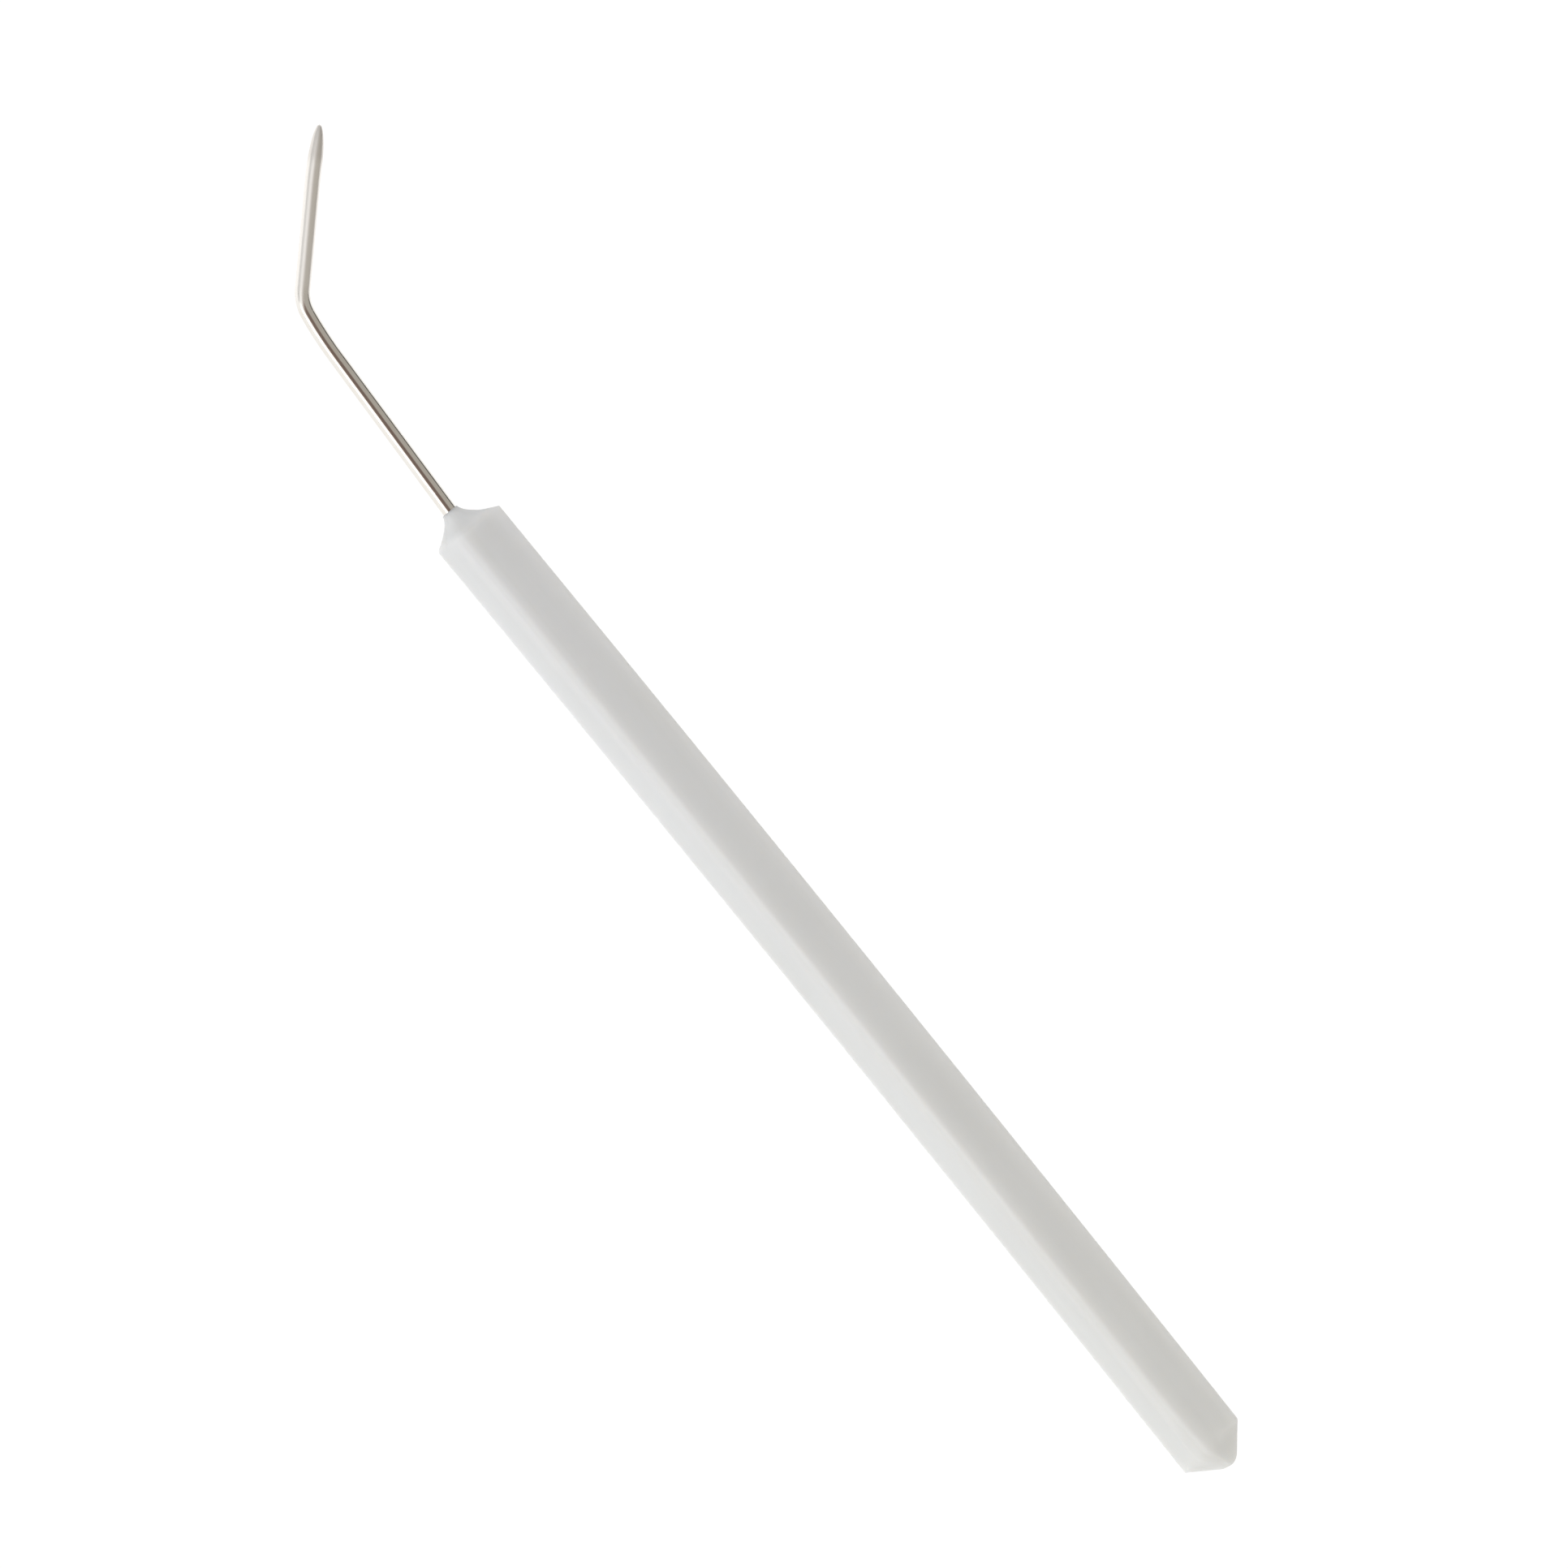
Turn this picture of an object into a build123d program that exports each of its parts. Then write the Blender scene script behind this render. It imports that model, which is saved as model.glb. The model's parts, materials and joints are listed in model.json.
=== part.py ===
from build123d import *
import math
import os

# Bent-tip probe: a polished steel needle held in a one-piece moulded handle of square section.
#
# Frame, in millimetres: the origin lies on the resting face, under the handle's axis and midway
# along its body. +X runs from the handle's back end to the needle's tip, and +Z is up. The needle
# bends towards -Y, in the plane that is half the handle's height above the resting face.

# --- Driving dimensions ---

# Handle
BODY_LENGTH = 104.7          # front shoulder to the back end
BODY_HEIGHT = 5.1            # across the flats, resting face to top face
FRONT_WIDTH = 5.38           # across the sides at the front shoulder
BACK_WIDTH = 5.2             # across the sides at the back end
MIDDLE_WIDTH = 5.28          # across the sides midway along the body
BOW = 0.24                   # how far the middle of the body leans towards -Y
FRONT_STRAIGHT = 6.0         # the sides run straight for this far behind the shoulder
EDGE_RADIUS = 0.45           # the long edges, and the edges between the back end's facets

# Neck, turned about the needle: how far ahead of the shoulder, and the radius there
NECK_MOUTH = (2.3, 0.78)
NECK_WAIST = (1.06, 1.66)
NECK_BRIM = (0.42, 2.62)
NECK_RIM = (-0.05, 3.45)
NECK_OUTSIDE = (-0.35, 5.5)  # clear of the body's corners

# Back end: four facets that rise from a slightly slanted base line to a small blunt tip
FACET_LENGTH = 2.95          # base line to the sharp point, on the handle's axis
FACET_SLANT_Y = 0.095        # how much earlier the facets start, for each millimetre towards -Y
FACET_SLANT_Z = 0.095        # the same, for each millimetre towards +Z
POINT_OVERRUN = 0.56         # how far the sharp point would lie past the blunt tip
POINT_OFFSET_Y = -0.4        # the point's place beside the handle's axis
POINT_OFFSET_Z = 0.45        # the point's place above the handle's axis

# Needle
WIRE_RADIUS = 0.675
NEEDLE_OFFSET = 0.32         # the needle leaves the neck this far to the +Y side of the axis
LEAN_ANGLE = 2.75            # the straight stretch leans towards -Y
LEAN_RADIUS = 15.0
STRAIGHT_LENGTH = 16.65      # neck mouth to the start of the lead-in
LEAD_ANGLE = 7.4             # gentle curve that leads into the bend
LEAD_LENGTH = 4.4
BEND_ANGLE = 35.9
BEND_RADIUS = 3.8            # at the wire's centre line
BENT_LENGTH = 15.25          # end of the bend to the tip
TIP_TURN_ANGLE = 1.9         # the last stretch curves a little further the same way
TIP_TURN_LENGTH = 2.0
TIP_LENGTH = 4.0             # ground point, half an ellipse long

# Tang: the hidden end of the wire, pressed flat so that it can't turn or pull out
TANG_LENGTH = 27.0           # neck mouth to the tang's end
BLADE_LENGTH = 5.0
BLADE_WIDTH = 1.9
BLADE_THICKNESS = 0.7
STUB_LENGTH = 2.0            # full round wire behind the blade

# --- Worked out from them ---

HALF_LENGTH = BODY_LENGTH / 2
HALF_HEIGHT = BODY_HEIGHT / 2
SHOULDER_X = HALF_LENGTH
MOUTH_X = SHOULDER_X + NECK_MOUTH[0]
LEAN_ARC = LEAN_RADIUS * math.radians(LEAN_ANGLE)
LEAD_RADIUS = LEAD_LENGTH / math.radians(LEAD_ANGLE)
TIP_TURN_RADIUS = TIP_TURN_LENGTH / math.radians(TIP_TURN_ANGLE)
CUT_MARGIN = 4.0             # how far cutting shapes reach past the body
LENGTHWISE = 0.9             # an edge whose direction has at least this much X runs lengthwise
TOLERANCE = 0.001


def axis_point(x, y):
    """A point at the height of the handle's axis."""
    return Vector(x, y, HALF_HEIGHT)


def wire_along(path):
    """Round wire along a path."""
    section = Plane(origin=path @ 0, z_dir=path % 0) * Circle(WIRE_RADIUS)
    return sweep(section, path=path)


def make_needle():
    """Tang, lean, straight stretch, lead-in, bend, bent stretch and ground point, in one solid."""
    tang_end_x = MOUTH_X - TANG_LENGTH
    blade_x = tang_end_x + STUB_LENGTH
    wire_x = blade_x + BLADE_LENGTH

    # The wire turns right, towards -Y, at each arc, so the arcs' sizes are negative.
    tang = Line(axis_point(wire_x, NEEDLE_OFFSET), axis_point(MOUTH_X - LEAN_ARC, NEEDLE_OFFSET))
    lean = JernArc(tang @ 1, tang % 1, LEAN_RADIUS, -LEAN_ANGLE)
    straight = PolarLine(lean @ 1, STRAIGHT_LENGTH, direction=lean % 1)
    lead = JernArc(straight @ 1, straight % 1, LEAD_RADIUS, -LEAD_ANGLE)
    bend = JernArc(lead @ 1, lead % 1, BEND_RADIUS, -BEND_ANGLE)
    bent_run = BENT_LENGTH - TIP_TURN_LENGTH - TIP_LENGTH
    bent = PolarLine(bend @ 1, bent_run, direction=bend % 1)
    tip_turn = JernArc(bent @ 1, bent % 1, TIP_TURN_RADIUS, -TIP_TURN_ANGLE)
    wire = wire_along(Wire([tang, lean, straight, lead, bend, bent, tip_turn]))

    # The ground point is a quarter ellipse turned about the wire's last direction.
    point_plane = Plane(origin=tip_turn @ 1, x_dir=tip_turn % 1, z_dir=(0, 0, 1))
    curve = EllipticalCenterArc((0, 0), TIP_LENGTH, WIRE_RADIUS, start_angle=0, arc_size=90)
    closing = Polyline((0, WIRE_RADIUS), (0, 0), (TIP_LENGTH, 0))
    profile = point_plane * make_face(curve + closing)
    point = revolve(profile, axis=Axis(tip_turn @ 1, tip_turn % 1), revolution_arc=360)

    stub = Pos(tang_end_x, NEEDLE_OFFSET, HALF_HEIGHT) * Rot(0, 90, 0) * Cylinder(
        WIRE_RADIUS, STUB_LENGTH, align=(Align.CENTER, Align.CENTER, Align.MIN)
    )
    blade = Pos(blade_x + BLADE_LENGTH / 2, NEEDLE_OFFSET, HALF_HEIGHT) * Box(
        BLADE_LENGTH, BLADE_WIDTH, BLADE_THICKNESS
    )
    return wire + point + blade + stub


def body_side(side, front_width, middle_width, back_width):
    """One long side from above, back to front: a shallow arc, then straight on past the neck."""
    back = (-HALF_LENGTH - CUT_MARGIN, side * back_width / 2)
    middle = (0, side * middle_width / 2 - BOW)
    front = (SHOULDER_X - FRONT_STRAIGHT, side * front_width / 2)
    arc = ThreePointArc(back, middle, front)
    run_on_length = FRONT_STRAIGHT + NECK_MOUTH[0] + CUT_MARGIN
    run_on = PolarLine(arc @ 1, run_on_length, direction=arc % 1)
    return arc, run_on


def body_outline():
    """The handle's outline from above: both long sides, joined straight across the ends."""
    near, near_front = body_side(1, FRONT_WIDTH, MIDDLE_WIDTH, BACK_WIDTH)
    far, far_front = body_side(-1, FRONT_WIDTH, MIDDLE_WIDTH, BACK_WIDTH)
    ends = Line(near_front @ 1, far_front @ 1) + Line(near @ 0, far @ 0)
    return make_face(near + near_front + far + far_front + ends)


def back_facets(body):
    """The body with its back end cut to four facets and a small blunt tip."""
    point = axis_point(-HALF_LENGTH - POINT_OVERRUN, 0) + Vector(0, POINT_OFFSET_Y, POINT_OFFSET_Z)
    half_width = BACK_WIDTH / 2
    corners = []
    for y, z in ((1, 1), (-1, 1), (-1, -1), (1, -1)):
        slant = -FACET_SLANT_Y * y * half_width + FACET_SLANT_Z * z * HALF_HEIGHT
        start = -HALF_LENGTH - POINT_OVERRUN + FACET_LENGTH + slant
        corners.append(axis_point(start, y * half_width) + Vector(0, 0, z * HALF_HEIGHT))
    for first, second in zip(corners, corners[1:] + corners[:1]):
        outward = (first - point).cross(second - point)
        if outward.X > 0:
            outward = outward * -1
        body = split(body, bisect_by=Plane(origin=point, z_dir=outward), keep=Keep.BOTTOM)
    blunt = Plane(origin=axis_point(-HALF_LENGTH, 0), z_dir=(-1, 0, 0))
    return split(body, bisect_by=blunt, keep=Keep.BOTTOM)


def neck_cutter():
    """Everything outside the concave neck, which is turned about the needle."""
    profile = (NECK_MOUTH, NECK_WAIST, NECK_BRIM, NECK_RIM, NECK_OUTSIDE)
    mouth, waist, brim, rim, outside = [(SHOULDER_X + ahead, radius) for ahead, radius in profile]
    front = MOUTH_X + CUT_MARGIN * 2
    curve = ThreePointArc(mouth, waist, brim)
    rest = Polyline(brim, rim, outside, (front, outside[1]), (front, 0), (MOUTH_X, 0), mouth)
    turned = revolve(Plane.XY * make_face(curve + rest), axis=Axis.X, revolution_arc=360)
    return Pos(0, NEEDLE_OFFSET, HALF_HEIGHT) * turned


def soften_back(body):
    """Rounds the edges between the facets, and then those of the blunt tip."""
    tip_x = -HALF_LENGTH
    edge_ends = [(edge, [v.X for v in edge.vertices()]) for edge in body.edges()]
    between_facets = [e for e, xs in edge_ends if min(xs) < tip_x + TOLERANCE < max(xs)]
    body = fillet(between_facets, EDGE_RADIUS)
    around_tip = [e for e in body.edges() if max(v.X for v in e.vertices()) < tip_x + TOLERANCE]
    return fillet(around_tip, EDGE_RADIUS)


def make_handle(needle):
    """Square body with soft edges, flared neck, faceted back end, and the tang's cavity."""
    body = extrude(body_outline(), amount=BODY_HEIGHT)
    long_edges = [e for e in body.edges() if abs((e % 0.5).X) > LENGTHWISE]
    body = fillet(long_edges, EDGE_RADIUS)
    body = soften_back(back_facets(body))
    return body - neck_cutter() - needle


needle = make_needle()
handle = make_handle(needle)

os.makedirs("parts", exist_ok=True)
for name, solid in (("needle", needle), ("handle", handle)):
    export_step(solid, f"parts/{name}.step")
    print(name, round(solid.volume, 3), "mm3", solid.bounding_box())
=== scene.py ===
import json
import math

import bpy
from bpy.props import FloatProperty, FloatVectorProperty, IntProperty, PointerProperty
from mathutils import Matrix, Vector

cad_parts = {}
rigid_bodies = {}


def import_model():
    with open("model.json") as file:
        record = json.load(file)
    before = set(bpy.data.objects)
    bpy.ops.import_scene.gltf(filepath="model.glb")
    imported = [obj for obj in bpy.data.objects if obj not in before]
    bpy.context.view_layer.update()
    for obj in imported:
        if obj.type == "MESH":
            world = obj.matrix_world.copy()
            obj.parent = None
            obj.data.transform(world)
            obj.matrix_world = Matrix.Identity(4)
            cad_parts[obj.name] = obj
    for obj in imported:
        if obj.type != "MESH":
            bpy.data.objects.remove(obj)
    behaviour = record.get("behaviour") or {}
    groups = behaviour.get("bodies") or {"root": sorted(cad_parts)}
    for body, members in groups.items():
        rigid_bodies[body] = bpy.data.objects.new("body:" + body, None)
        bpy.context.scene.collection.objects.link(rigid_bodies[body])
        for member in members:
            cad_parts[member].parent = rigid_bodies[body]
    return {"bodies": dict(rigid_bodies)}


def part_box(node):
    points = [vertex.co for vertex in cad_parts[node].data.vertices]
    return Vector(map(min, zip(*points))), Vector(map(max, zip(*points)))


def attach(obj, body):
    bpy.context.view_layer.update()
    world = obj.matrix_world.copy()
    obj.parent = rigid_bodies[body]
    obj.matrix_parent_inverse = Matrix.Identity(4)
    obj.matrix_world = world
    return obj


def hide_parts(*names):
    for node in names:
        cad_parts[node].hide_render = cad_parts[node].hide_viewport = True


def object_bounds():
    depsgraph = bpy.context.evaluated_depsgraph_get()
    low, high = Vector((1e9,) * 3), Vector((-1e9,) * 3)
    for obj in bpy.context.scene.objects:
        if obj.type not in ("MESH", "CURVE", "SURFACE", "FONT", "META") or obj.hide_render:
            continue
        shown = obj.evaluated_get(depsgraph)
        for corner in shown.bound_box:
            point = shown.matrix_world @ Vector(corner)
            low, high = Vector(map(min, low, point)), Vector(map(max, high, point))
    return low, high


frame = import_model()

bl_info = {
    "name": "Bent-tip probe",
    "version": (1, 0, 0),
    "blender": (4, 5, 0),
    "location": "3D View > Sidebar > Probe",
    "description": "Builds a steel probe needle, its moulded handle and a studio around them",
    "category": "Object",
}

MM = 0.001
BODY = next(iter(frame["bodies"]))
CAD_LOW, CAD_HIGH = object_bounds()
HANDLE_LOW, HANDLE_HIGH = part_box("handle")
AXIS_Z = (HANDLE_LOW.z + HANDLE_HIGH.z) / 2


# --- Settings ---


def length(name, description, default):
    """A size in metres that the sidebar shows in the scene's unit."""
    return FloatProperty(
        name=name, description=description, default=default, unit="LENGTH", precision=5
    )


def turn(name, description, degrees):
    """An angle that the sidebar shows in degrees."""
    return FloatProperty(
        name=name, description=description, default=math.radians(degrees), subtype="ANGLE"
    )


def share(name, description, default):
    """A number from 0 to 1."""
    return FloatProperty(
        name=name, description=description, default=default, min=0, max=1, subtype="FACTOR"
    )


def colour(name, description, default):
    """A linear colour without alpha."""
    return FloatVectorProperty(
        name=name, description=description, default=default, size=3, min=0, max=1, subtype="COLOR"
    )


class HandleSettings(bpy.types.PropertyGroup):
    neck_length: length("Neck length", "From the mouth to the front shoulder", 2.3 * MM)
    front_width: length("Front width", "Across the sides at the shoulder", 5.38 * MM)
    middle_width: length("Middle width", "Across the sides midway", 5.28 * MM)
    back_width: length("Back width", "Across the sides at the back end", 5.2 * MM)
    bow: length("Bow", "How far the middle leans to the side that the needle bends to", 0.24 * MM)
    edge_softness: length("Edge softness", "Reach of the rounding, mould-line edges", 1.0 * MM)
    ridge_softness: length("Ridge softness", "Reach of the rounding, other edges", 1.5 * MM)
    crown: length("Crown", "How far each face falls away towards the softer edges", 0.2 * MM)
    facet_length: length("Facet length", "From the base line to the sharp point", 2.95 * MM)
    facet_slant: share("Facet slant", "Slant of the facets' base line, across and up", 0.095)
    overrun: length("Overrun", "From the rounded tip to the sharp point it stands for", 0.56 * MM)
    point_y: length("Point Y", "The back point's place beside the axis", -0.4 * MM)
    point_z: length("Point Z", "The back point's place above the axis", 0.45 * MM)
    rings: IntProperty(name="Rings", description="Rings of the mesh along it", default=260, min=40)
    around: IntProperty(name="Around", description="Points round a ring", default=144, min=24)


class NeedleSettings(bpy.types.PropertyGroup):
    radius: length("Wire radius", "Radius of the round wire", 0.675 * MM)
    offset: length("Offset", "The needle's place beside the handle's axis", 0.32 * MM)
    lean_angle: turn("Lean", "How far the straight stretch leans off the axis", 2.75)
    lean_radius: length("Lean radius", "Radius of the lean at the mouth", 15 * MM)
    straight: length("Straight", "From the mouth to the start of the lead-in", 16.65 * MM)
    lead_angle: turn("Lead-in angle", "The gentle curve that leads into the bend", 7.4)
    lead: length("Lead-in", "Length of the lead-in", 4.4 * MM)
    bend_angle: turn("Bend", "Angle of the bend", 35.9)
    bend_radius: length("Bend radius", "At the wire's centre line", 3.8 * MM)
    bent: length("Bent stretch", "From the end of the bend to the tip", 15.25 * MM)
    tip_turn_angle: turn("Tip turn", "How much further the last stretch curves", 1.9)
    tip_turn: length("Tip turn length", "The stretch that curves further", 2 * MM)
    tip: length("Ground point", "Length of the ground point", 4 * MM)
    tang: length("Tang", "From the mouth to the hidden end", 27 * MM)
    blade: length("Blade", "Length of the tang's flattened stretch", 5 * MM)
    stub: length("Stub", "Round wire behind the flattened stretch", 2 * MM)
    blade_widening: FloatProperty(
        name="Blade widening", description="Width of the flattened stretch in wires", default=1.4
    )
    blade_thinning: share("Blade thinning", "Its thickness as a share of the wire's", 0.52)


class FinishSettings(bpy.types.PropertyGroup):
    plastic_front: colour("Plastic, front", "Plastic colour by the needle", (0.695, 0.708, 0.722))
    plastic_back: colour("Plastic, back", "Plastic colour at the back end", (0.695, 0.705, 0.695))
    plastic_depth: length("Translucency", "How deep light goes into the plastic", 2.2 * MM)
    plastic_rough: share("Plastic roughness", "Roughness of the plastic where it is plain", 0.42)
    steel: colour("Steel", "Colour of the polished steel", (0.84, 0.815, 0.77))
    polished: share("Polished roughness", "Roughness of the straight stretch", 0.1)
    # The bent stretch's colour is lighter than the steel's: painted sheen for its brighter
    # reflection, on top of the satin finish.
    satin_steel_and_painted_sheen: colour("Satin steel", "Colour of the bent stretch", (0.95, 0.92, 0.875))
    satin: share("Satin roughness", "Roughness of the bent stretch", 0.33)


class StageSettings(bpy.types.PropertyGroup):
    elevation: turn("Elevation", "The camera's height over the floor", 66.4)
    roll: turn("Roll", "How far the picture is turned about the line of sight", 129)
    distance: length("Distance", "From the camera to what it looks at", 1.1)
    view_width: length("View width", "What the picture is wide, at that distance", 136.06 * MM)
    aim_x: length("Aim X", "The aim's place along the handle", 18 * MM)
    aim_up: length("Aim offset", "The aim's place across the handle, in the picture", 7.35 * MM)
    floor: colour("Floor", "Colour of the floor", (0.1, 0.1, 0.1))
    floor_glow: FloatProperty(
        name="Floor glow", description="Light from below through the pale floor", default=0.95
    )
    window: FloatProperty(
        name="Window", description="Strength of the low window on the camera's side", default=1.9
    )
    behind: FloatProperty(
        name="Behind", description="Strength of the rest of the room", default=0.45
    )
    front: FloatProperty(
        name="Front", description="Strength added on the needle's side", default=0.14
    )
    wings: FloatProperty(
        name="Wings", description="Strength added overhead, beside the camera", default=0.5
    )
    behind_colour: colour("Room colour", "Colour of the room but the window", (1.0, 0.95, 0.87))
    camera_colour: colour("Camera colour", "Colour of the dark round the camera", (1, 0.74, 0.64))
    lamp: FloatProperty(name="Lamp", description="Power of the lamp overhead", default=2.1)
    lamp_size: length("Lamp size", "How wide the lamp is", 0.5)
    lamp_x: length("Lamp X", "The lamp's place along the handle", -0.2)
    lamp_z: length("Lamp Z", "The lamp's height over the floor", 0.85)


# --- Arithmetic in node trees ---


def put(tree, socket, value):
    """Links a field to a socket, or sets a plain value on it."""
    if isinstance(value, Field):
        tree.links.new(value.socket, socket)
    else:
        socket.default_value = value


class Field:
    """A number in a node tree that ordinary arithmetic extends with Math nodes."""

    def __init__(self, tree, socket):
        self.tree = tree
        self.socket = socket

    def calc(self, operation, *values):
        node = self.tree.nodes.new("ShaderNodeMath")
        node.operation = operation
        for socket, value in zip(node.inputs, values):
            put(self.tree, socket, value)
        return Field(self.tree, node.outputs[0])

    def __add__(self, other):
        return self.calc("ADD", self, other)

    def __sub__(self, other):
        return self.calc("SUBTRACT", self, other)

    def __rsub__(self, other):
        return self.calc("SUBTRACT", other, self)

    def __mul__(self, other):
        return self.calc("MULTIPLY", self, other)

    def __truediv__(self, other):
        return self.calc("DIVIDE", self, other)

    __radd__ = __add__
    __rmul__ = __mul__

    def size(self):
        return self.calc("ABSOLUTE", self)

    def sine(self):
        return self.calc("SINE", self)

    def cosine(self):
        return self.calc("COSINE", self)

    def root(self):
        return self.calc("SQRT", self)

    def at_least(self, other):
        return self.calc("MAXIMUM", self, other)

    def at_most(self, other):
        return self.calc("MINIMUM", self, other)

    def above(self, other):
        return self.calc("GREATER_THAN", self, other)

    def softly_at_most(self, other, reach):
        return self.calc("SMOOTH_MIN", self, other, reach)

    def between(self, low, high, smooth=False):
        """Goes from 0 at low to 1 at high, and stays there."""
        node = self.tree.nodes.new("ShaderNodeMapRange")
        node.interpolation_type = "SMOOTHSTEP" if smooth else "LINEAR"
        put(self.tree, node.inputs["Value"], self)
        put(self.tree, node.inputs["From Min"], low)
        put(self.tree, node.inputs["From Max"], high)
        return Field(self.tree, node.outputs["Result"])

    def curve(self, points):
        """A smooth curve through a few points, each from 0 to 1."""
        node = self.tree.nodes.new("ShaderNodeFloatCurve")
        line = node.mapping.curves[0]
        line.points[0].location = points[0]
        line.points[1].location = points[-1]
        for place in points[1:-1]:
            line.points.new(*place)
        node.mapping.update()
        put(self.tree, node.inputs["Value"], self)
        return Field(self.tree, node.outputs["Value"])


def new_node(tree, kind, **values):
    """A node with the named inputs set or linked. An underscore in a name stands for a space."""
    node = tree.nodes.new(kind)
    for name, value in values.items():
        put(tree, node.inputs[name.replace("_", " ")], value)
    return node


def link(tree, start, end):
    tree.links.new(start, end)


def new_rule(name, sizes, counts=()):
    """A geometry tree with one input for each size and count, and a material."""
    tree = bpy.data.node_groups.new(name, "GeometryNodeTree")
    face = tree.interface
    face.new_socket("Geometry", in_out="INPUT", socket_type="NodeSocketGeometry")
    for label in sizes:
        face.new_socket(label, in_out="INPUT", socket_type="NodeSocketFloat")
    for label in counts:
        face.new_socket(label, in_out="INPUT", socket_type="NodeSocketInt")
    face.new_socket("Material", in_out="INPUT", socket_type="NodeSocketMaterial")
    face.new_socket("Geometry", in_out="OUTPUT", socket_type="NodeSocketGeometry")
    given = tree.nodes.new("NodeGroupInput")
    fields = {label: Field(tree, given.outputs[label]) for label in (*sizes, *counts)}
    return tree, given, fields


def finish_rule(tree, given, mesh):
    """Closes the seam and poles, smooths the shading and sets the material."""
    merge = new_node(tree, "GeometryNodeMergeByDistance", Distance=0.0001 * MM)
    smooth = tree.nodes.new("GeometryNodeSetShadeSmooth")
    real = tree.nodes.new("GeometryNodeRealizeInstances")
    paint = tree.nodes.new("GeometryNodeSetMaterial")
    result = tree.nodes.new("NodeGroupOutput")
    link(tree, mesh, merge.inputs["Geometry"])
    link(tree, merge.outputs["Geometry"], smooth.inputs["Geometry"])
    link(tree, smooth.outputs["Geometry"], real.inputs["Geometry"])
    link(tree, real.outputs["Geometry"], paint.inputs["Geometry"])
    link(tree, given.outputs["Material"], paint.inputs["Material"])
    link(tree, paint.outputs["Geometry"], result.inputs["Geometry"])


def apply_rule(name, base, tree, values):
    """Runs a geometry tree on a base object and keeps the result as a plain mesh piece."""
    holder = bpy.data.objects.new(name + "_rule", base)
    bpy.context.scene.collection.objects.link(holder)
    modifier = holder.modifiers.new("rule", "NODES")
    modifier.node_group = tree
    for item in tree.interface.items_tree:
        if item.in_out == "INPUT" and item.name in values:
            modifier[item.identifier] = values[item.name]
    depsgraph = bpy.context.evaluated_depsgraph_get()
    mesh = bpy.data.meshes.new_from_object(holder.evaluated_get(depsgraph), depsgraph=depsgraph)
    holder.modifiers.clear()
    bpy.data.objects.remove(holder)
    if not mesh.polygons:
        raise RuntimeError(f"the rule made no faces for {name}")
    mesh.name = name
    piece = bpy.data.objects.new(name, mesh)
    bpy.context.scene.collection.objects.link(piece)
    return piece


# --- Handle ---

# The neck's radius from the mouth back to just behind the shoulder, as shares of the zone's
# length and of the radius that clears the body's corners.
NECK_ZONE = 3 * MM
NECK_REACH = 4.6 * MM
NECK_PROFILE = (
    (0.0, 0.17), (0.18, 0.225), (0.413, 0.375), (0.557, 0.51), (0.627, 0.6),
    (0.743, 0.76), (0.8, 0.87), (1.0, 1.0),
)
FACE_SOFTNESS = 2.4 * MM      # how far the neck blends into the faces
NEAR_SOFTNESS = 0.9 * MM      # and how much further on the near side
CORNER_SOFTNESS = 0.4 * MM    # and into the crisp edges
LIP_DEPTH = 0.12 * MM         # the lip dips this far round the needle

BACK_RUN_IN = 2 * MM          # the back end's rings start this far before the facets
SLANT_RUN_IN = 3 * MM         # the slant of the base line comes in over this length
BASE_MIDDLES = 0.4            # softness of the base line, as a share of the facets' length
BASE_CORNERS = 0.05           # and at its crisp corners
TIP_ROUNDING = 0.3 * MM       # the stretch that rounds the blunt tip off

CROWN_LIMIT = 1.6             # the crown grows to this many times its size at an edge
SOFTER_BACK = (-0.84, -0.97)  # the ridge grows softer between these shares of the half length
LIP_END = 0.03                # the shares of the rings, from the mouth, where the lip ends,
NECK_END = 0.42               # the neck,
MIDDLE_END = 0.6              # and the plain middle
CORNER_CROWDING = 0.17        # how strongly the points of a ring crowd towards the edges
TINY = 1e-6

HANDLE_SIZES = (
    "Mouth", "Shoulder", "Back", "Height", "Front width", "Middle width", "Back width", "Bow",
    "Edge softness", "Ridge softness", "Crown", "Facet length", "Facet slant", "Overrun",
    "Point Y", "Point Z", "Needle offset",
)


def handle_section(f, x, cosine, sine):
    """Distance from the needle's line to the body's soft square section, in one direction."""
    half_length = (f["Shoulder"] - f["Back"]) / 2
    t = (x - (f["Shoulder"] + f["Back"]) / 2) / half_length
    slope = (f["Front width"] - f["Back width"]) / 2
    swell = (f["Front width"] + f["Back width"]) / 2 - f["Middle width"]
    half_width = (f["Middle width"] + slope * t + swell * t * t) / 2
    bow = f["Bow"] * (1 - (t * t).at_most(1))
    side = cosine.above(0) * 2 - 1
    to_side = half_width - side * (bow + f["Needle offset"])
    across = cosine.size().at_least(TINY)
    upright = sine.size().at_least(TINY)
    half_height = f["Height"] / 2
    crown = f["Crown"] * (cosine * sine).above(0)
    steep = upright / across
    flat = across / upright
    side_reach = (to_side - crown * (steep * steep).at_most(CROWN_LIMIT)) / across
    flat_reach = (half_height - crown * (flat * flat).at_most(CROWN_LIMIT)) / upright

    # The mould parts along two opposite edges, which are crisper. The other two grow softer still
    # towards the back.
    ridge = (cosine * sine * 2).at_least(0)
    near_back = t.between(*SOFTER_BACK, smooth=True)
    ridge_softness = f["Ridge softness"] * (near_back + 1)
    softness = f["Edge softness"] + ridge * (ridge_softness - f["Edge softness"])
    return side_reach.softly_at_most(flat_reach, softness)


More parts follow.
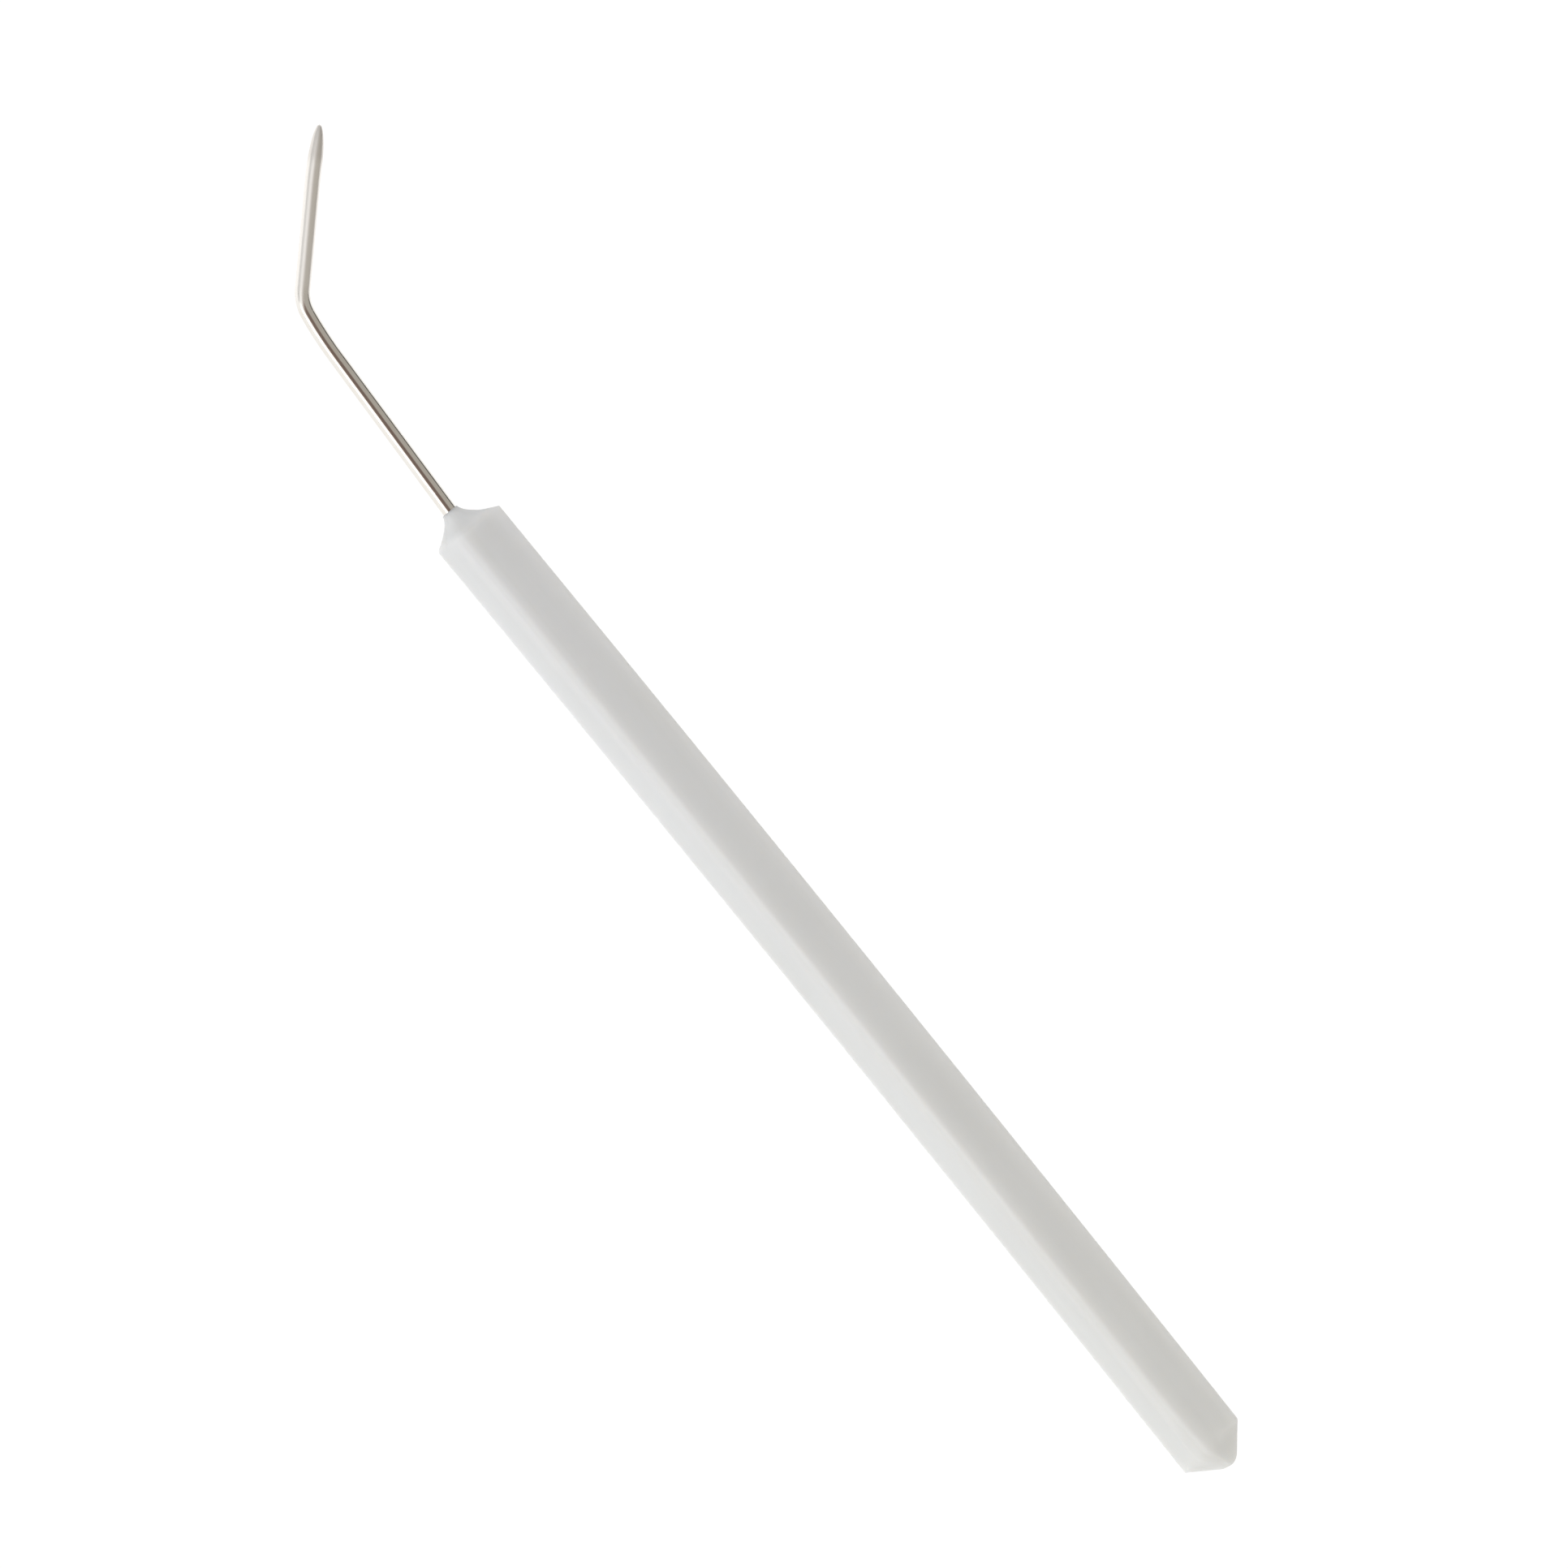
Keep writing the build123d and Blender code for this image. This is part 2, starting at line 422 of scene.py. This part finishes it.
def handle_rule():
    """The handle: rings along the body, from the lip round the needle to the rounded tip."""
    tree, given, f = new_rule("handle_rule", HANDLE_SIZES, ("Rings", "Around"))
    grid = new_node(
        tree, "GeometryNodeMeshGrid", Size_X=1.0, Size_Y=1.0,
        Vertices_X=f["Rings"], Vertices_Y=f["Around"],
    )
    place = tree.nodes.new("ShaderNodeSeparateXYZ")
    link(tree, tree.nodes.new("GeometryNodeInputPosition").outputs[0], place.inputs[0])
    station = Field(tree, place.outputs["X"]) + 0.5
    around = Field(tree, place.outputs["Y"]) * 2 * math.pi

    # Rings are close together at the lip, the neck and the back end. Points are close together
    # at the four edges.
    angle = around + (around * 4).sine() * CORNER_CROWDING
    cosine = angle.cosine()
    sine = angle.sine()
    lip = station.between(0, LIP_END)
    neck = station.between(LIP_END, NECK_END)
    middle = station.between(NECK_END, MIDDLE_END)
    end = station.between(MIDDLE_END, 1)
    facet_end = f["Facet length"] - f["Overrun"]
    end_zone = facet_end + BACK_RUN_IN
    middle_zone = f["Mouth"] - f["Back"] - NECK_ZONE - end_zone
    end_share = (end * math.pi / 2).sine()
    x = f["Mouth"] - neck * NECK_ZONE - middle * middle_zone - end_share * end_zone

    # Front: the flared neck cuts into the body's section.
    reach = handle_section(f, x, cosine, sine)
    neck_reach = neck.curve(NECK_PROFILE) * NECK_REACH + middle.above(0) * NECK_REACH
    crisp = (angle * -2).sine().at_least(0)
    face_softness = cosine * NEAR_SOFTNESS + FACE_SOFTNESS
    softness = face_softness + crisp * (CORNER_SOFTNESS - face_softness)
    reach = reach.softly_at_most(neck_reach, softness) * lip
    y = f["Needle offset"] + reach * cosine
    z = reach * sine

    # Back: the section shrinks towards the sharp point, and the tip is rounded off before it.
    past_base = f["Back"] + facet_end - x
    base_softness = crisp * (BASE_CORNERS - BASE_MIDDLES) + BASE_MIDDLES
    shrink = (1 - past_base / f["Facet length"]).softly_at_most(1, base_softness)
    rounding = past_base.between(facet_end - TIP_ROUNDING, facet_end)
    cap = (1 - rounding * rounding).at_least(0).root()
    scale = shrink * cap
    shift = 1 - shrink
    y = y * scale + f["Point Y"] * shift
    z = z * scale + f["Point Z"] * shift
    slant = past_base.between(-SLANT_RUN_IN, 0, smooth=True) * f["Facet slant"] * cap
    x = x + (z - y) * slant - (1 - lip) * LIP_DEPTH

    position = new_node(tree, "ShaderNodeCombineXYZ", X=x, Y=y, Z=z + f["Height"] / 2)
    shape = tree.nodes.new("GeometryNodeSetPosition")
    link(tree, grid.outputs["Mesh"], shape.inputs["Geometry"])
    link(tree, position.outputs[0], shape.inputs["Position"])
    finish_rule(tree, given, shape.outputs["Geometry"])
    return tree


# --- Needle ---

NEEDLE_SIZES = (
    "Radius", "Point length", "Blade start", "Blade end", "Widening", "Thinning", "Axis Y",
    "Axis Z",
)
BLADE_RUN_OUT = 0.8 * MM      # round wire turns to blade over this length
WIRE_STEP = 0.16 * MM         # from one ring to the next
WIRE_SIDES = 64
ARC_STEPS = 40


class Route:
    """A flat path that grows by straight runs and right-hand arcs that follow on."""

    def __init__(self, start):
        self.points = [Vector(start)]
        self.heading = 0.0

    def run(self, distance):
        step = Vector((math.cos(self.heading), math.sin(self.heading), 0))
        self.points.append(self.points[-1] + step * distance)

    def arc(self, radius, angle):
        step = angle / ARC_STEPS
        chord = 2 * radius * math.sin(step / 2)
        for _ in range(ARC_STEPS):
            self.heading -= step / 2
            self.run(chord)
            self.heading -= step / 2


def needle_route(needle, mouth_x):
    """The wire's centre line from the hidden end of the tang to the tip."""
    lean_arc = needle.lean_radius * needle.lean_angle
    route = Route((mouth_x - needle.tang, needle.offset, AXIS_Z))
    route.run(needle.tang - lean_arc)
    route.arc(needle.lean_radius, needle.lean_angle)
    route.run(needle.straight)
    route.arc(needle.lead / needle.lead_angle, needle.lead_angle)
    route.arc(needle.bend_radius, needle.bend_angle)
    route.run(needle.bent - needle.tip_turn - needle.tip)
    route.arc(needle.tip_turn / needle.tip_turn_angle, needle.tip_turn_angle)
    route.run(needle.tip)
    return route.points


def curve_through(name, points):
    """A curve of straight steps through points."""
    curve = bpy.data.curves.new(name, "CURVE")
    curve.dimensions = "3D"
    line = curve.splines.new("POLY")
    line.points.add(len(points) - 1)
    for spot, place in zip(line.points, points):
        spot.co = (*place, 1)
    return curve


def needle_rule():
    """Round wire along the path, pressed flat in the tang and ground to a point."""
    tree, given, f = new_rule("needle_rule", NEEDLE_SIZES)
    even = tree.nodes.new("GeometryNodeResampleCurve")
    even.mode = "LENGTH"
    put(tree, even.inputs["Length"], WIRE_STEP)
    link(tree, given.outputs["Geometry"], even.inputs["Curve"])

    # Distance from the hidden end, and from the tip.
    along_node = tree.nodes.new("GeometryNodeSplineParameter")
    along = Field(tree, along_node.outputs["Length"])
    whole = tree.nodes.new("GeometryNodeSplineLength")
    left = Field(tree, whole.outputs["Length"]) - along
    ground = 1 - (left / f["Point length"]).at_most(1)
    radius = (1 - ground * ground).at_least(0).root() * f["Radius"]

    # The section's own size is 1, so that the curve's radius sets it.
    keep = tree.nodes.new("GeometryNodeCaptureAttribute")
    keep.domain = "POINT"
    keep.capture_items.new("FLOAT", "Along")
    link(tree, even.outputs["Curve"], keep.inputs["Geometry"])
    link(tree, along.socket, keep.inputs["Along"])
    sized = tree.nodes.new("GeometryNodeSetCurveRadius")
    link(tree, keep.outputs["Geometry"], sized.inputs["Curve"])
    put(tree, sized.inputs["Radius"], radius)

    ring = new_node(tree, "GeometryNodeCurvePrimitiveCircle", Resolution=WIRE_SIDES, Radius=1.0)
    keep_ring = tree.nodes.new("GeometryNodeCaptureAttribute")
    keep_ring.domain = "POINT"
    keep_ring.capture_items.new("FLOAT", "Around")
    ring_share = tree.nodes.new("GeometryNodeSplineParameter")
    link(tree, ring.outputs["Curve"], keep_ring.inputs["Geometry"])
    link(tree, ring_share.outputs["Factor"], keep_ring.inputs["Around"])
    tube = tree.nodes.new("GeometryNodeCurveToMesh")
    put(tree, tube.inputs["Fill Caps"], True)
    link(tree, sized.outputs["Curve"], tube.inputs["Curve"])
    link(tree, keep_ring.outputs["Geometry"], tube.inputs["Profile Curve"])
    if "Scale" in tube.inputs:
        put(tree, tube.inputs["Scale"], radius)

    # Press the blade.
    spot = Field(tree, keep.outputs["Along"])
    begun = spot.between(f["Blade start"], f["Blade start"] + BLADE_RUN_OUT, smooth=True)
    over = spot.between(f["Blade end"] - BLADE_RUN_OUT, f["Blade end"], smooth=True)
    pressed = begun * (1 - over)
    place = tree.nodes.new("ShaderNodeSeparateXYZ")
    link(tree, tree.nodes.new("GeometryNodeInputPosition").outputs[0], place.inputs[0])
    y = Field(tree, place.outputs["Y"])
    z = Field(tree, place.outputs["Z"])
    wide = y + (y - f["Axis Y"]) * (f["Widening"] - 1) * pressed
    thin = z + (z - f["Axis Z"]) * (f["Thinning"] - 1) * pressed
    position = new_node(
        tree, "ShaderNodeCombineXYZ", X=Field(tree, place.outputs["X"]), Y=wide, Z=thin
    )
    shape = tree.nodes.new("GeometryNodeSetPosition")
    link(tree, tube.outputs["Mesh"], shape.inputs["Geometry"])
    link(tree, position.outputs[0], shape.inputs["Position"])

    # The steel's satin stretch, ground point and grinding lines follow these.
    lines = tree.nodes.new("ShaderNodeCombineXYZ")
    link(tree, keep.outputs["Along"], lines.inputs["X"])
    link(tree, keep_ring.outputs["Around"], lines.inputs["Y"])
    store = tree.nodes.new("GeometryNodeStoreNamedAttribute")
    store.data_type = "FLOAT_VECTOR"
    store.domain = "POINT"
    put(tree, store.inputs["Name"], "wire")
    link(tree, shape.outputs["Geometry"], store.inputs["Geometry"])
    link(tree, lines.outputs[0], store.inputs["Value"])
    finish_rule(tree, given, store.outputs["Geometry"])
    return tree


# --- Materials ---

# How fine each pattern is, per metre lengthwise, across and upwards.
PLASTIC_DRIFT = (60, 300, 300)        # slow changes of shade
FLOW_LINES = (25, 1400, 1400)         # where the plastic ran into the mould
FACE_WAVES = (90, 420, 420)           # faces that aren't quite flat
PLASTIC_GRAIN = (9000, 9000, 9000)
SCUFFS = (260, 5200, 5200)
DRAWN_LINES = (180, 4200, 4200)       # left by the drawing of the wire
STEEL_CLOUD = (700, 700, 700)
NICKS = (2600, 2600, 2600)
GRINDING = (14000, 900, 0)            # along the wire and round it

PLASTIC_IOR = 1.49
PLASTIC_TRANSLUCENCY = 0.9
RED_GREEN_BLUE_DEPTH = (1, 0.95, 0.88)  # how deep each goes, as a share of the translucency
BACK_GLOSS = 0.4
FRONT_GLOSS = 0.16
PLASTIC_SHADE = 0.93                  # how bright the darkest shade is
WARM_STEEL = (0.96, 0.93, 0.89)       # the clouds' colour, as shares of the steel's
GROUND_STEEL = (0.78, 0.76, 0.75)     # the grinding lines' colour, as shares of it
SATIN_RUN_IN = 3 * MM                 # polished wire turns satin over this length
GROUND_RUN_IN = 1 * MM

WAVE_DEPTH = 0.05 * MM
CLOUD_DEPTH = 0.02 * MM
FLOW_DEPTH = 0.012 * MM
LINE_DEPTH = 0.006 * MM
FINE_DEPTH = 0.004 * MM


def mixed(tree, amount, first, second):
    """A mix of two colours, each a field or three numbers."""
    node = tree.nodes.new("ShaderNodeMix")
    node.data_type = "RGBA"
    put(tree, node.inputs[0], amount)
    for socket, value in ((node.inputs[6], first), (node.inputs[7], second)):
        put(tree, socket, value if isinstance(value, Field) else (*value, 1))
    return Field(tree, node.outputs[2])


class Finish:
    """A material's node tree, with short ways to build patterns in it."""

    def __init__(self, name):
        self.material = bpy.data.materials.new(name)
        self.material.use_nodes = True
        self.tree = self.material.node_tree
        self.shader = next(n for n in self.tree.nodes if n.type == "BSDF_PRINCIPLED")
        self.place = self.tree.nodes.new("ShaderNodeTexCoord").outputs["Object"]

    def set(self, **values):
        for name, value in values.items():
            put(self.tree, self.shader.inputs[name.replace("_", " ")], value)

    def stretched(self, scale, source=None):
        """Coordinates per metre, stretched by scale."""
        node = self.tree.nodes.new("ShaderNodeMapping")
        node.inputs["Scale"].default_value = scale
        link(self.tree, source or self.place, node.inputs["Vector"])
        return node.outputs["Vector"]

    def noise(self, scale, detail=3.0, roughness=0.5, distortion=0.0, source=None):
        node = self.tree.nodes.new("ShaderNodeTexNoise")
        node.inputs["Scale"].default_value = 1.0
        node.inputs["Detail"].default_value = detail
        node.inputs["Roughness"].default_value = roughness
        node.inputs["Distortion"].default_value = distortion
        link(self.tree, self.stretched(scale, source), node.inputs["Vector"])
        return Field(self.tree, node.outputs["Fac"])

    def mix(self, amount, first, second):
        return mixed(self.tree, amount, first, second)

    def bump(self, height, distance, strength=1.0, under=None):
        node = self.tree.nodes.new("ShaderNodeBump")
        node.inputs["Strength"].default_value = strength
        node.inputs["Distance"].default_value = distance
        put(self.tree, node.inputs["Height"], height)
        if under:
            link(self.tree, under, node.inputs["Normal"])
        return node.outputs["Normal"]

    def finish_with(self, normal):
        """Gives the shader its last normal."""
        link(self.tree, normal, self.shader.inputs["Normal"])


def white_plastic(finish):
    """Semi-matte moulded plastic, faintly translucent, with flow lines, fine grain and scuffs."""
    look = Finish("white_plastic")
    axes = look.tree.nodes.new("ShaderNodeSeparateXYZ")
    link(look.tree, look.place, axes.inputs[0])
    to_front = Field(look.tree, axes.outputs["X"]).between(HANDLE_LOW.x, HANDLE_HIGH.x)
    drift = look.noise(PLASTIC_DRIFT, detail=2)
    flow = look.noise(FLOW_LINES, detail=4, distortion=0.4)
    grain = look.noise(PLASTIC_GRAIN, detail=2)
    waves = look.noise(FACE_WAVES, detail=1)
    scuffs = look.noise(SCUFFS, detail=5, roughness=0.7).between(0.6, 0.72)

    plain = look.mix(to_front, finish.plastic_back, finish.plastic_front)
    shade = tuple(PLASTIC_SHADE * c for c in finish.plastic_back)
    shaded = drift.between(0.4, 0.8) * 0.5 + flow.between(0.5, 0.75) * 0.18
    look.set(Base_Color=look.mix(shaded, plain, shade))
    look.set(Roughness=finish.plastic_rough + drift * 0.08 + grain * 0.05 + scuffs * 0.12)
    gloss = BACK_GLOSS - to_front * (BACK_GLOSS - FRONT_GLOSS)
    look.set(IOR=PLASTIC_IOR, Specular_IOR_Level=gloss)
    look.set(Subsurface_Weight=PLASTIC_TRANSLUCENCY, Subsurface_Scale=finish.plastic_depth)
    look.set(Subsurface_Radius=RED_GREEN_BLUE_DEPTH)
    normal = look.bump(waves, WAVE_DEPTH, strength=0.35)
    normal = look.bump(flow, FLOW_DEPTH, strength=0.5, under=normal)
    normal = look.bump(scuffs, FINE_DEPTH, strength=0.5, under=normal)
    look.finish_with(look.bump(grain, FINE_DEPTH, strength=0.5, under=normal))
    return look.material


def polished_steel(finish, needle):
    """Drawn and polished steel wire: bright on the straight stretch, satin past the bend, where a
    lighter steel colour is painted sheen.
    """
    look = Finish("polished_steel")
    wire = look.tree.nodes.new("ShaderNodeAttribute")
    wire.attribute_name = "wire"
    source = wire.outputs["Vector"]
    axes = look.tree.nodes.new("ShaderNodeSeparateXYZ")
    link(look.tree, source, axes.inputs[0])
    along = Field(look.tree, axes.outputs["X"])
    bend = needle.tang + needle.straight + needle.lead
    past_bend = along.between(bend, bend + SATIN_RUN_IN, smooth=True)
    point = bend + needle.bend_radius * needle.bend_angle + needle.bent - needle.tip
    ground = along.between(point, point + GROUND_RUN_IN)
    drawn = look.noise(DRAWN_LINES, detail=4, roughness=0.6)
    cloud = look.noise(STEEL_CLOUD, detail=3)
    nicks = look.noise(NICKS, detail=2, roughness=0.6).between(0.68, 0.74)
    grinding = look.noise(GRINDING, detail=3, roughness=0.7, source=source)

    warm = tuple(c * s for c, s in zip(finish.steel, WARM_STEEL))
    dull = tuple(c * s for c, s in zip(finish.steel, GROUND_STEEL))
    clean = look.mix(cloud.between(0.4, 0.7) * 0.6 + nicks * 0.3, finish.steel, warm)
    # Past the bend the steel turns to a lighter colour, a painted sheen for the bent stretch's
    # brighter reflection; its rougher satin finish is set below.
    clean = look.mix(past_bend, clean, finish.satin_steel_and_painted_sheen)
    look.set(Base_Color=look.mix(ground * grinding.between(0.35, 0.65) * 0.8, clean, dull))
    rough = past_bend * (finish.satin - finish.polished) + finish.polished
    look.set(Metallic=1.0, Roughness=rough + drawn * 0.06 + nicks * 0.12 + ground * grinding * 0.1)
    normal = look.bump(drawn, LINE_DEPTH, strength=0.35)
    normal = look.bump(cloud, CLOUD_DEPTH, strength=0.12, under=normal)
    normal = look.bump(ground * grinding, LINE_DEPTH, strength=0.4, under=normal)
    look.finish_with(look.bump(nicks, FINE_DEPTH, strength=0.3, under=normal))
    return look.material


# --- Stage ---

SENSOR_WIDTH = 36             # millimetres
CLIPPING = (0.1, 20)          # as shares of the camera's distance
FLOOR_HALF = 1.5              # half the floor's width, in metres
FLOOR_ROUGHNESS = 0.9

# The room's parts. Each pair says how squarely a part's edge faces the part's direction, from
# where it begins to where it is full: 1 is straight ahead and 0 is a right angle away.
WINDOW_EDGE = (0.66, 0.88)
FRONT_EDGE = (0.1, 0.55)
WING_EDGE = (0.28, 0.55)
OVERHEAD_EDGE = (0.5, 0.75)
FAR_SIDE_EDGE = (0.86, 0.98)
HORIZON_EDGE = (0.03, 0.14)
CAMERA_EDGE = (math.cos(math.radians(30)), math.cos(math.radians(14)))
BACK_WING = 0.6               # the back wing's strength, as a share of the front one's
FAR_SIDE_DIMMING = 0.8
HORIZON_DIMMING = 0.7
CAMERA_DIMMING = 0.58
WHITE = (1, 1, 1)


def stage_frame(stage):
    """The camera's right, up and back directions, and the level picture's up."""
    back = Vector((0, math.cos(stage.elevation), math.sin(stage.elevation)))
    level = Vector((-1, 0, 0))
    rise = back.cross(level)
    up = -level * math.sin(stage.roll) - rise * math.cos(stage.roll)
    right = up.cross(back)
    return right, up, back, rise


def place_camera(stage):
    """The camera, turned about its line of sight so that the tool lies diagonally."""
    right, up, back, rise = stage_frame(stage)
    aim = Vector((stage.aim_x, 0, AXIS_Z)) + rise * stage.aim_up
    camera = bpy.data.objects.new("camera", bpy.data.cameras.new("camera"))
    camera.matrix_world = Matrix.Translation(aim + back * stage.distance) @ Matrix(
        (right, up, back)
    ).transposed().to_4x4()
    camera.data.sensor_width = SENSOR_WIDTH
    camera.data.lens = SENSOR_WIDTH * stage.distance / stage.view_width
    camera.data.clip_start, camera.data.clip_end = (stage.distance * part for part in CLIPPING)
    bpy.context.scene.collection.objects.link(camera)
    bpy.context.scene.camera = camera


def lay_floor(stage):
    """A plain pale floor, lit faintly from below."""
    signs = ((-1, -1), (1, -1), (1, 1), (-1, 1))
    corners = [(x * FLOOR_HALF, y * FLOOR_HALF, CAD_LOW.z) for x, y in signs]
    mesh = bpy.data.meshes.new("floor")
    mesh.from_pydata(corners, [], [(0, 1, 2, 3)])
    floor = bpy.data.objects.new("floor", mesh)
    look = Finish("floor")
    look.set(Base_Color=(*stage.floor, 1), Roughness=FLOOR_ROUGHNESS)
    look.set(Emission_Color=(*WHITE, 1), Emission_Strength=stage.floor_glow)
    mesh.materials.append(look.material)
    bpy.context.scene.collection.objects.link(floor)


def light_room(stage):
    """A soft room: bright on the camera's side, greyer behind, and dark round the camera."""
    world = bpy.data.worlds.new("room")
    world.use_nodes = True
    tree = world.node_tree
    sky = next(n for n in tree.nodes if n.type == "BACKGROUND")
    view = tree.nodes.new("ShaderNodeTexCoord").outputs["Generated"]

    def towards(direction):
        node = tree.nodes.new("ShaderNodeVectorMath")
        node.operation = "DOT_PRODUCT"
        link(tree, view, node.inputs[0])
        node.inputs[1].default_value = Vector(direction).normalized()
        return Field(tree, node.outputs["Value"])

    ahead = towards((1, 0, 0))
    behind = towards((-1, 0, 0))
    camera = towards(stage_frame(stage)[2])
    window = towards((0, 1, 0)).between(*WINDOW_EDGE, smooth=True)
    front = ahead.between(*FRONT_EDGE, smooth=True)
    far_side = towards((0, -1, 0)).between(*FAR_SIDE_EDGE, smooth=True)
    over_horizon = towards((0, 0, 1)).between(*HORIZON_EDGE, smooth=True)
    at_camera = camera.between(*CAMERA_EDGE, smooth=True)
    front_wing = ahead.between(*WING_EDGE, smooth=True)
    back_wing = behind.between(*WING_EDGE, smooth=True) * BACK_WING
    wings = (front_wing + back_wing) * camera.between(*OVERHEAD_EDGE, smooth=True)

    strength = window * (stage.window - stage.behind) + front * stage.front + stage.behind
    strength = strength + wings * stage.wings
    strength = strength * (1 - far_side * FAR_SIDE_DIMMING)
    strength = strength * (over_horizon * HORIZON_DIMMING + (1 - HORIZON_DIMMING))
    put(tree, sky.inputs["Strength"], strength * (1 - at_camera * CAMERA_DIMMING))
    room = mixed(tree, (window + front).at_most(1), stage.behind_colour, WHITE)
    put(tree, sky.inputs["Color"], mixed(tree, at_camera, room, stage.camera_colour))
    bpy.context.scene.world = world

    lamp = bpy.data.lights.new("softbox", "AREA")
    lamp.shape = "DISK"
    lamp.size = stage.lamp_size
    lamp.energy = stage.lamp
    softbox = bpy.data.objects.new("softbox", lamp)
    softbox.location = (stage.lamp_x, 0, stage.lamp_z)
    softbox.rotation_euler = softbox.location.to_track_quat("Z", "Y").to_euler()
    softbox.visible_glossy = False
    bpy.context.scene.collection.objects.link(softbox)


# --- Operators, panel and running ---


class PROBE_OT_handle(bpy.types.Operator):
    """Build the moulded handle"""

    bl_idname = "probe.handle"
    bl_label = "Handle"

    def execute(self, context):
        scene = context.scene
        handle = scene.probe_handle
        values = {
            "Mouth": HANDLE_HIGH.x,
            "Shoulder": HANDLE_HIGH.x - handle.neck_length,
            "Back": HANDLE_LOW.x,
            "Height": HANDLE_HIGH.z - HANDLE_LOW.z,
            "Front width": handle.front_width,
            "Middle width": handle.middle_width,
            "Back width": handle.back_width,
            "Bow": handle.bow,
            "Edge softness": handle.edge_softness,
            "Ridge softness": handle.ridge_softness,
            "Crown": handle.crown,
            "Facet length": handle.facet_length,
            "Facet slant": handle.facet_slant,
            "Overrun": handle.overrun,
            "Point Y": handle.point_y,
            "Point Z": handle.point_z,
            "Needle offset": scene.probe_needle.offset,
            "Rings": handle.rings,
            "Around": handle.around,
            "Material": white_plastic(scene.probe_finish),
        }
        base = bpy.data.meshes.new("handle_base")
        piece = apply_rule("moulded_handle", base, handle_rule(), values)
        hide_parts("handle")
        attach(piece, BODY)
        return {"FINISHED"}


class PROBE_OT_needle(bpy.types.Operator):
    """Build the bent and ground needle"""

    bl_idname = "probe.needle"
    bl_label = "Needle"

    def execute(self, context):
        scene = context.scene
        needle = scene.probe_needle
        values = {
            "Radius": needle.radius,
            "Point length": needle.tip,
            "Blade start": needle.stub,
            "Blade end": needle.stub + needle.blade,
            "Widening": needle.blade_widening,
            "Thinning": needle.blade_thinning,
            "Axis Y": needle.offset,
            "Axis Z": AXIS_Z,
            "Material": polished_steel(scene.probe_finish, needle),
        }
        path = curve_through("needle_path", needle_route(needle, HANDLE_HIGH.x))
        piece = apply_rule("steel_needle", path, needle_rule(), values)
        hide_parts("needle")
        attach(piece, BODY)
        return {"FINISHED"}


class PROBE_OT_stage(bpy.types.Operator):
    """Set up the floor, the light and the camera"""

    bl_idname = "probe.stage"
    bl_label = "Stage"

    def execute(self, context):
        stage = context.scene.probe_stage
        lay_floor(stage)
        light_room(stage)
        place_camera(stage)
        context.scene.view_settings.view_transform = "Standard"
        return {"FINISHED"}


class PROBE_PT_panel(bpy.types.Panel):
    bl_idname = "PROBE_PT_panel"
    bl_label = "Bent-tip probe"
    bl_space_type = "VIEW_3D"
    bl_region_type = "UI"
    bl_category = "Probe"

    def draw(self, context):
        layout = self.layout
        for operator in (PROBE_OT_handle, PROBE_OT_needle, PROBE_OT_stage):
            layout.operator(operator.bl_idname)
        for group in GROUPS:
            settings = getattr(context.scene, group)
            box = layout.box()
            for name in settings.__annotations__:
                box.prop(settings, name)


GROUPS = {
    "probe_handle": HandleSettings,
    "probe_needle": NeedleSettings,
    "probe_finish": FinishSettings,
    "probe_stage": StageSettings,
}
CLASSES = (*GROUPS.values(), PROBE_OT_handle, PROBE_OT_needle, PROBE_OT_stage, PROBE_PT_panel)


def register():
    for item in CLASSES:
        bpy.utils.register_class(item)
    for name, group in GROUPS.items():
        setattr(bpy.types.Scene, name, PointerProperty(type=group))


def unregister():
    for name in GROUPS:
        delattr(bpy.types.Scene, name)
    for item in reversed(CLASSES):
        bpy.utils.unregister_class(item)


def main():
    register()
    bpy.ops.probe.handle()
    bpy.ops.probe.needle()
    bpy.ops.probe.stage()


if __name__ == "__main__":
    main()
